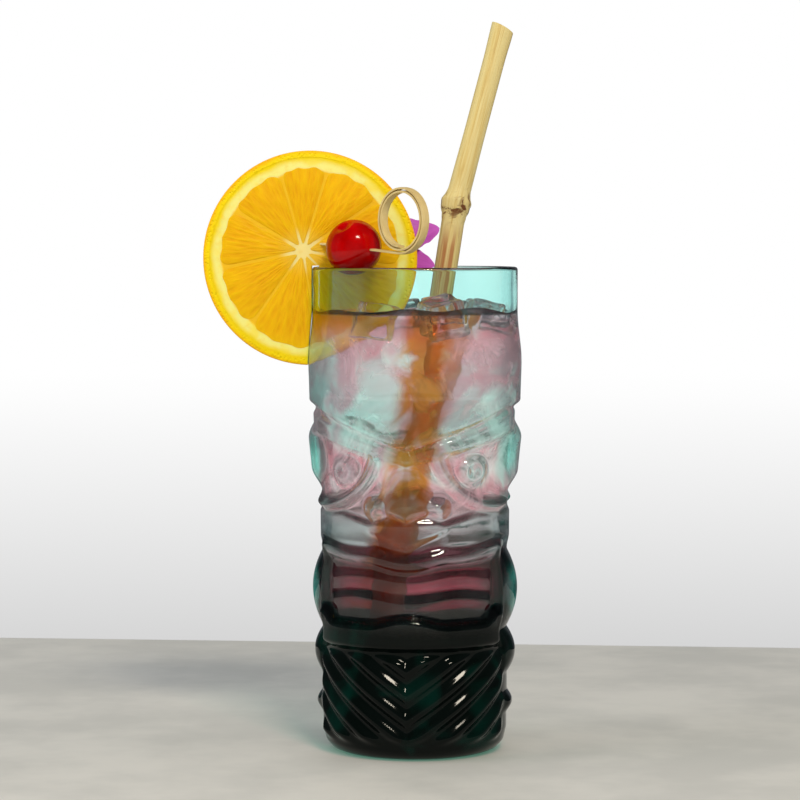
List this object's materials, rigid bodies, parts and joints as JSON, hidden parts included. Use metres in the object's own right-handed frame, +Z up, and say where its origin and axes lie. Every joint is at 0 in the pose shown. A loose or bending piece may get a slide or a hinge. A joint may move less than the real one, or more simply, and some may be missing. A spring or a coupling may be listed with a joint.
{
  "type": "tiki glass",
  "caption": "Tall pressed glass tumbler with an idol's face in relief, filled with an iced drink and dressed with a bamboo straw, an orange wheel, a cherry on a loop pick and an orchid.",
  "frame": {"origin": "centre of the glass's flat foot, on the surface it stands on", "axes": "+Z up along the glass's axis, the idol's face looking along -Y, the straw leaning back to +X +Y"},
  "size_m": [0.1084, 0.0898, 0.2511],
  "materials": {
    "glass": "gloss",
    "drink": "gloss",
    "ice": "gloss",
    "bamboo": "satin",
    "pick": "satin",
    "rind": "satin",
    "pith": "matte",
    "flesh": "satin",
    "cherry": "gloss",
    "petal": "satin",
    "lip": "satin",
    "stem": "satin"
  },
  "bodies": {
    "glass": {"tiki_glass": "glass", "drink": "drink", "ice_cube_4": "ice", "ice_cube_5": "ice", "ice_cube_6": "ice", "ice_cube_7": "ice"},
    "ice_front": {"ice_cube_1": "ice"},
    "ice_right": {"ice_cube_2": "ice"},
    "ice_middle": {"ice_cube_3": "ice"},
    "straw": {"bamboo_straw": "bamboo"},
    "wheel": {"orange_rind": "rind", "orange_pith": "pith", "orange_segment_1": "flesh", "orange_segment_2": "flesh", "orange_segment_3": "flesh", "orange_segment_4": "flesh", "orange_segment_5": "flesh", "orange_segment_6": "flesh", "orange_segment_7": "flesh", "orange_segment_8": "flesh", "orange_segment_9": "flesh"},
    "pick": {"loop_pick": "pick"},
    "cherry": {"cherry": "cherry"},
    "orchid": {"orchid_sepal_top": "petal", "orchid_sepal_left": "petal", "orchid_sepal_right": "petal", "orchid_petal_left": "petal", "orchid_petal_right": "petal", "orchid_lip": "lip", "orchid_column": "stem", "orchid_stem": "stem"}
  },
  "joints": [
    {"name": "straw_lift", "type": "slide", "parent": "glass", "child": "straw", "axis": [0.1313, 0.2278, 0.9648], "range_m": [0, 0.16]},
    {"name": "wheel_lift", "type": "slide", "parent": "glass", "child": "wheel", "axis": [0, 0, 1], "range_m": [0, 0.04]},
    {"name": "pick_twist", "type": "hinge", "parent": "wheel", "child": "pick", "pos_m": [-0.0193, -0.01524, 0.1716], "axis": [0.7524, -0.654, -0.0785], "range_deg": [-85, 85]},
    {"name": "cherry_turn", "type": "hinge", "parent": "pick", "child": "cherry", "pos_m": [-0.0193, -0.01524, 0.1716], "axis": [0.7524, -0.654, -0.0785], "continuous": true},
    {"name": "orchid_lift", "type": "slide", "parent": "glass", "child": "orchid", "axis": [0, 0, 1], "range_m": [0, 0.05]},
    {"name": "ice_front_lift", "type": "slide", "parent": "glass", "child": "ice_front", "axis": [0, 0, 1], "range_m": [0, 0.045]},
    {"name": "ice_right_lift", "type": "slide", "parent": "glass", "child": "ice_right", "axis": [0, 0, 1], "range_m": [0, 0.045]},
    {"name": "ice_middle_lift", "type": "slide", "parent": "glass", "child": "ice_middle", "axis": [0, 0, 1], "range_m": [0, 0.045]}
  ]
}
